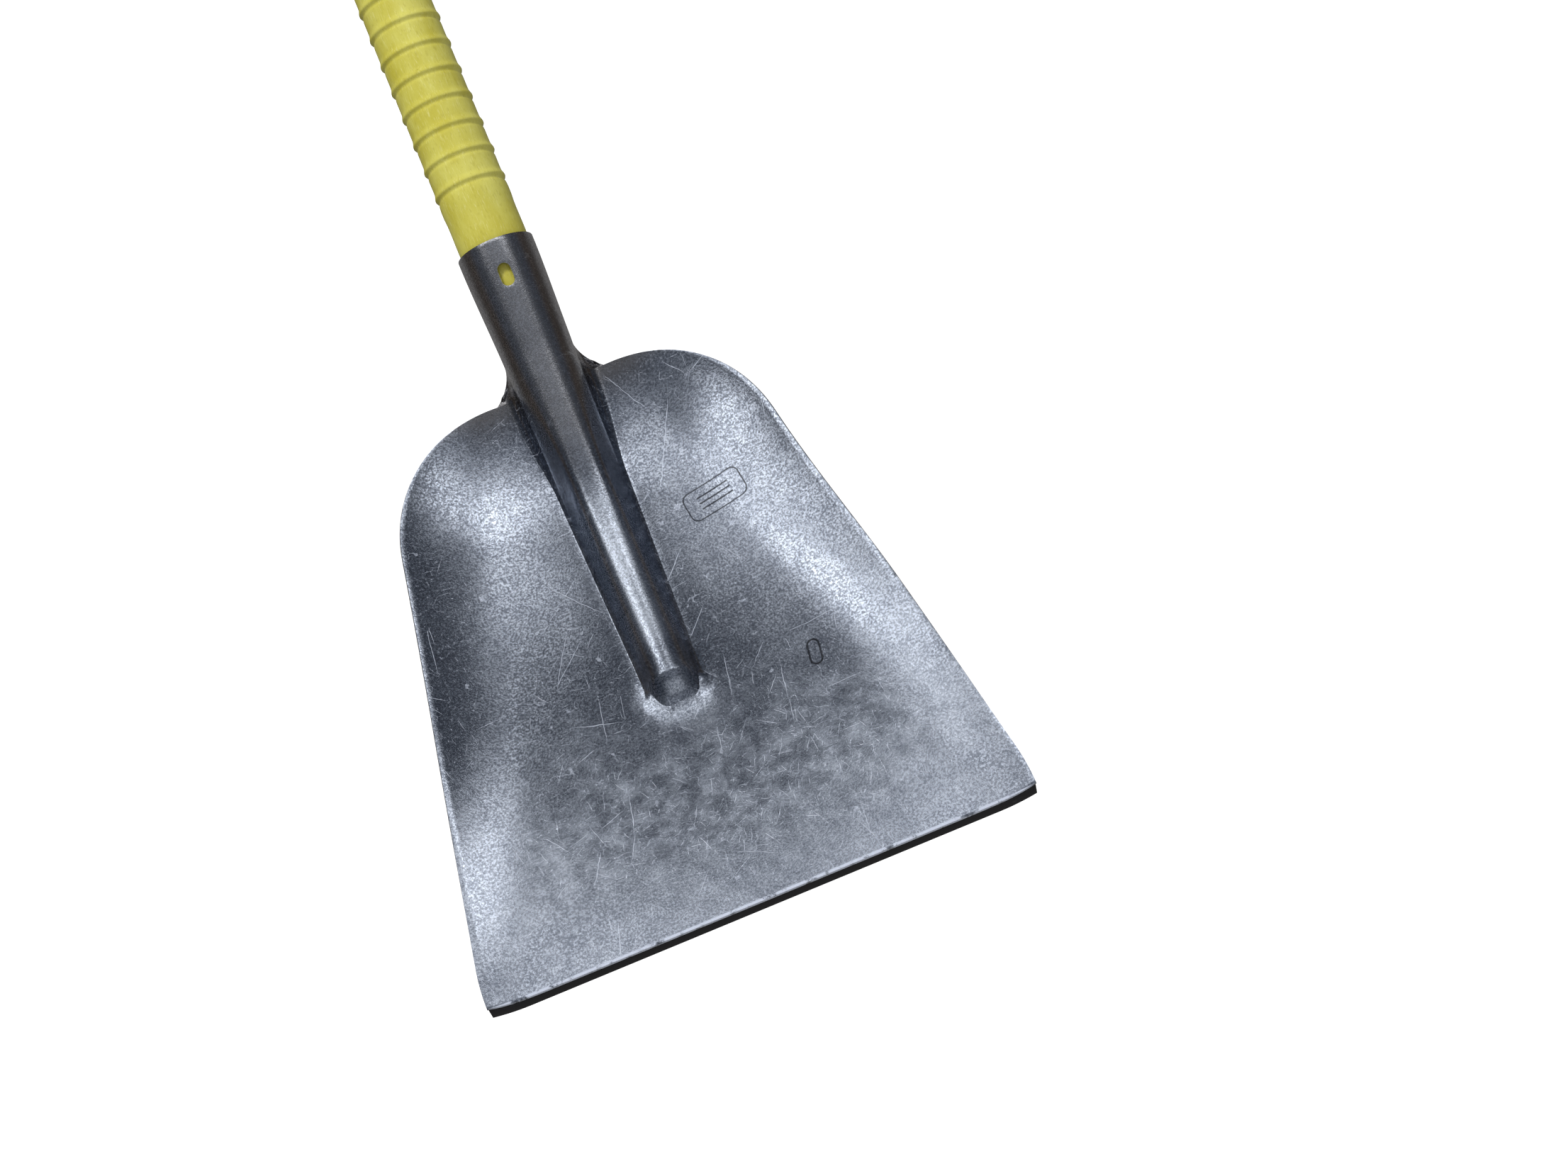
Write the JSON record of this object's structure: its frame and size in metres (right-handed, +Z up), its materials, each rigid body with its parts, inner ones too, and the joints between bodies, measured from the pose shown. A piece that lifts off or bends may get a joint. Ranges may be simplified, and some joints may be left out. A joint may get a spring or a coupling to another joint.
{
  "type": "grain scoop shovel",
  "caption": "Long-handled scoop shovel: shallow pressed steel blade with a central ridge and rolled socket, dark front edge strip and yellow handle with grip rings and a knob.",
  "frame": {"origin": "centre of the bottom of the whole shovel's box, on the surface that it lies on", "axes": "+Y along the handle towards the knob, +Z up off the load face, +X to the right seen from the front edge"},
  "size_m": [0.2824, 1.4534, 0.1132],
  "materials": {
    "worn_steel": "bare rolled steel, mottled grey with fine scratches",
    "black_strip": "matt black, slightly worn",
    "yellow_handle": "yellow stained, cloudy, with fine short grain flecks, satin",
    "screw_steel": "zinc plated"
  },
  "bodies": {
    "root": {"scoop_sheet": "worn_steel", "front_edge_strip": "black_strip", "handle": "yellow_handle", "socket_screw": "screw_steel"}
  },
  "joints": []
}
